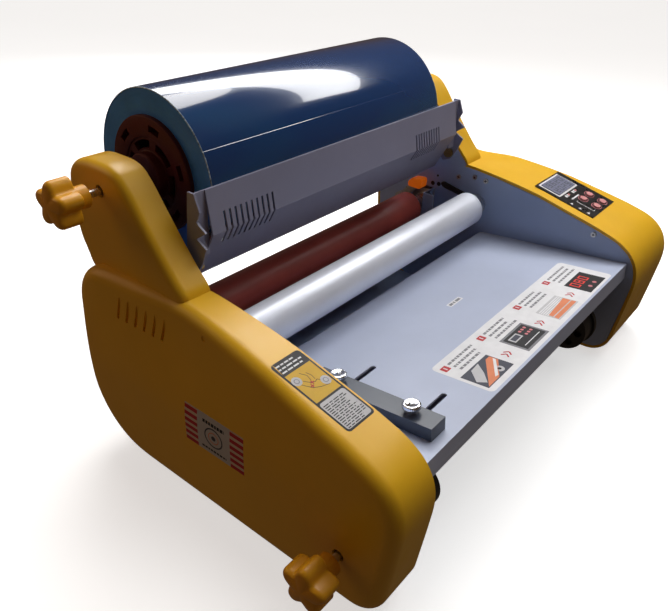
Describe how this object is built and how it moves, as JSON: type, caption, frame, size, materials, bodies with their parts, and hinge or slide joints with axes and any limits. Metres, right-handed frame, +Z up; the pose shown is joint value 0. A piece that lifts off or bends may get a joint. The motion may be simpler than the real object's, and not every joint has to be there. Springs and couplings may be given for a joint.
{
  "type": "roll laminator",
  "caption": "Desktop roll laminator with a sloping feed table, heated nip rollers, a film roll between two arms, and a hinged heat guard.",
  "frame": {"origin": "centre of the bounding box in plan, on the surface that the feet rest on", "axes": "+X to the operator's right along the rollers, +Y from the operator's side to the back, +Z up"},
  "size_m": [0.6542, 0.4104, 0.3488],
  "materials": {
    "housing": "satin golden-yellow moulded plastic with a fine texture",
    "side_plate": "textured blue-grey powder coat",
    "table": "satin light blue-grey powder coat",
    "guard": "satin mid-grey powder coat",
    "steel": "turned and plated",
    "chrome": "bright knurled chrome",
    "idler_silver": "satin silver-white anodised",
    "silicone": "red-brown silicone rubber",
    "black_rubber": "matt black rubber",
    "film": "glossy deep blue laminating film, paler matt at the roll's ends",
    "card": "wound brown card",
    "chuck": "dark red-brown moulded plastic",
    "black_plastic": "matt black moulded plastic",
    "panel": "black film overlay with thin pale lines",
    "display": "dark smoked window",
    "lamp": "translucent lens",
    "button": "pink-red rubbery keys",
    "circuit_board": "green circuit board",
    "motor": "zinc-plated motor can",
    "zinc": "zinc plate",
    "brass": "dull brass",
    "gear": "natural nylon",
    "guide": "black anodised",
    "grip": "bright orange moulded plastic"
  },
  "bodies": {
    "frame": {"left_side_plate": "side_plate", "right_side_plate": "side_plate", "left_cover": "housing", "right_cover": "housing", "base_pan": "side_plate", "cross_rails": "zinc", "feet": "black_rubber", "feed_table": "table", "table_brackets": "zinc", "control_plate": "panel", "display_window": "display", "indicator_lamps": "lamp", "control_board": "circuit_board", "power_board": "circuit_board", "gear_motor": "motor", "roller_bearings": "steel", "idler_shaft": "steel", "heater_rods": "zinc", "power_inlet": "black_plastic", "tension_studs": "steel", "plate_screws": "zinc", "guard_pivot_screws": "brass", "drive_belt": "black_rubber"},
    "film_supply": {"film_roll": "film", "film_core": "card", "core_chucks": "chuck", "upper_supply_shaft": "steel"},
    "upper_brake_collar": {"upper_collar": "housing"},
    "upper_tension_knob": {"upper_knob": "housing"},
    "lower_supply": {"lower_supply_shaft": "steel", "lower_chucks": "black_plastic"},
    "lower_brake_collar": {"lower_collar": "housing"},
    "lower_tension_knob": {"lower_knob": "housing"},
    "idler": {"idler_roller": "idler_silver"},
    "pressure_carriage": {"pressure_blocks": "zinc"},
    "upper_nip": {"upper_nip_core": "steel", "upper_nip_sleeve": "silicone", "upper_nip_gear": "gear"},
    "lower_nip": {"lower_nip_core": "steel", "lower_nip_sleeve": "silicone", "lower_nip_gear": "gear", "drive_pulley": "black_plastic"},
    "upper_pull": {"upper_pull_shaft": "steel", "upper_pull_sleeve": "black_rubber"},
    "lower_pull": {"lower_pull_shaft": "steel", "lower_pull_sleeve": "black_rubber", "pull_pulley": "black_plastic"},
    "pinion": {"motor_pinion": "gear"},
    "guard": {"heat_guard": "guard"},
    "pressure_lever": {"cam_shaft": "zinc", "lever_grip": "grip"},
    "side_guide": {"guide_bar": "guide", "guide_nuts": "chrome"},
    "front_screw": {"front_thumbscrew": "chrome"},
    "rear_screw": {"rear_thumbscrew": "chrome"},
    "up_button": {"button_up": "button"},
    "down_button": {"button_down": "button"},
    "mode_button": {"button_mode": "button"},
    "run_button": {"button_run": "button"},
    "rocker": {"power_switch": "black_plastic"}
  },
  "joints": [
    {"name": "film_spin", "type": "hinge", "parent": "frame", "child": "film_supply", "pos_m": [-0.01285, 0.12875, 0.2723], "axis": [1, 0, 0], "continuous": true},
    {"name": "upper_collar_slide", "type": "slide", "parent": "frame", "child": "upper_brake_collar", "axis": [1, 0, 0], "range_m": [-0.00125, 0.0025]},
    {"name": "upper_knob_turn", "type": "hinge", "parent": "upper_brake_collar", "child": "upper_tension_knob", "pos_m": [-0.30085, 0.12875, 0.2723], "axis": [1, 0, 0], "range_deg": [-360, 720]},
    {"name": "lower_supply_spin", "type": "hinge", "parent": "frame", "child": "lower_supply", "pos_m": [-0.01285, -0.15525, 0.0595], "axis": [1, 0, 0], "continuous": true},
    {"name": "lower_collar_slide", "type": "slide", "parent": "frame", "child": "lower_brake_collar", "axis": [1, 0, 0], "range_m": [-0.00125, 0.0025]},
    {"name": "lower_knob_turn", "type": "hinge", "parent": "lower_brake_collar", "child": "lower_tension_knob", "pos_m": [-0.31585, -0.15525, 0.0595], "axis": [1, 0, 0], "range_deg": [-360, 720]},
    {"name": "idler_spin", "type": "hinge", "parent": "frame", "child": "idler", "pos_m": [-0.01285, 0.01075, 0.1526], "axis": [1, 0, 0], "continuous": true},
    {"name": "carriage_lift", "type": "slide", "parent": "frame", "child": "pressure_carriage", "axis": [0, 0, 1], "range_m": [0, 0.002]},
    {"name": "upper_nip_spin", "type": "hinge", "parent": "pressure_carriage", "child": "upper_nip", "pos_m": [-0.01285, 0.09075, 0.1368], "axis": [1, 0, 0], "continuous": true},
    {"name": "lower_nip_spin", "type": "hinge", "parent": "frame", "child": "lower_nip", "pos_m": [-0.01285, 0.09075, 0.0945], "axis": [1, 0, 0], "continuous": true},
    {"name": "upper_pull_spin", "type": "hinge", "parent": "frame", "child": "upper_pull", "pos_m": [-0.01285, 0.13675, 0.1092], "axis": [1, 0, 0], "continuous": true},
    {"name": "lower_pull_spin", "type": "hinge", "parent": "frame", "child": "lower_pull", "pos_m": [-0.01285, 0.13675, 0.0829], "axis": [1, 0, 0], "continuous": true},
    {"name": "pinion_spin", "type": "hinge", "parent": "frame", "child": "pinion", "pos_m": [0.22215, 0.05946, 0.08311], "axis": [1, 0, 0], "continuous": true},
    {"name": "guard_tilt", "type": "hinge", "parent": "frame", "child": "guard", "pos_m": [-0.01285, 0.05575, 0.213], "axis": [1, 0, 0], "range_deg": [0, 55]},
    {"name": "lever_turn", "type": "hinge", "parent": "frame", "child": "pressure_lever", "pos_m": [0.19415, 0.11975, 0.136], "axis": [-1, 0, 0], "range_deg": [0, 60]},
    {"name": "guide_slide", "type": "slide", "parent": "frame", "child": "side_guide", "axis": [1, 0, 0], "range_m": [-0.006, 0.049]},
    {"name": "front_screw_turn", "type": "hinge", "parent": "side_guide", "child": "front_screw", "pos_m": [-0.19235, -0.15526, 0.13154], "axis": [0, 0.0958, 0.9954], "range_deg": [0, 360]},
    {"name": "rear_screw_turn", "type": "hinge", "parent": "side_guide", "child": "rear_screw", "pos_m": [-0.19235, -0.0811, 0.1244], "axis": [0, 0.0958, 0.9954], "range_deg": [0, 360]},
    {"name": "up_press", "type": "slide", "parent": "frame", "child": "up_button", "axis": [0, 0.2485, -0.9686], "range_m": [0, 0.001], "stiffness_N_per_m": 300, "springref_m": -0.001},
    {"name": "down_press", "type": "slide", "parent": "frame", "child": "down_button", "axis": [0, 0.2485, -0.9686], "range_m": [0, 0.001], "stiffness_N_per_m": 300, "springref_m": -0.001},
    {"name": "mode_press", "type": "slide", "parent": "frame", "child": "mode_button", "axis": [0, 0.2485, -0.9686], "range_m": [0, 0.001], "stiffness_N_per_m": 300, "springref_m": -0.001},
    {"name": "run_press", "type": "slide", "parent": "frame", "child": "run_button", "axis": [0, 0.2485, -0.9686], "range_m": [0, 0.001], "stiffness_N_per_m": 300, "springref_m": -0.001},
    {"name": "rocker_turn", "type": "hinge", "parent": "frame", "child": "rocker", "pos_m": [0.27165, 0.16475, 0.107], "axis": [1, 0, 0], "range_deg": [0, 16]}
  ],
  "couplings": [
    {"joint": "upper_knob_turn", "follows": "upper_collar_slide", "rad_per_m": 5026.5},
    {"joint": "lower_knob_turn", "follows": "lower_collar_slide", "rad_per_m": 5026.5},
    {"joint": "lever_turn", "follows": "carriage_lift", "rad_per_m": 523.59},
    {"joint": "upper_nip_spin", "follows": "lower_nip_spin", "ratio": -1},
    {"joint": "lower_pull_spin", "follows": "lower_nip_spin", "ratio": 1.6154},
    {"joint": "upper_pull_spin", "follows": "lower_nip_spin", "ratio": -1.6154},
    {"joint": "pinion_spin", "follows": "lower_nip_spin", "ratio": -1.75}
  ]
}
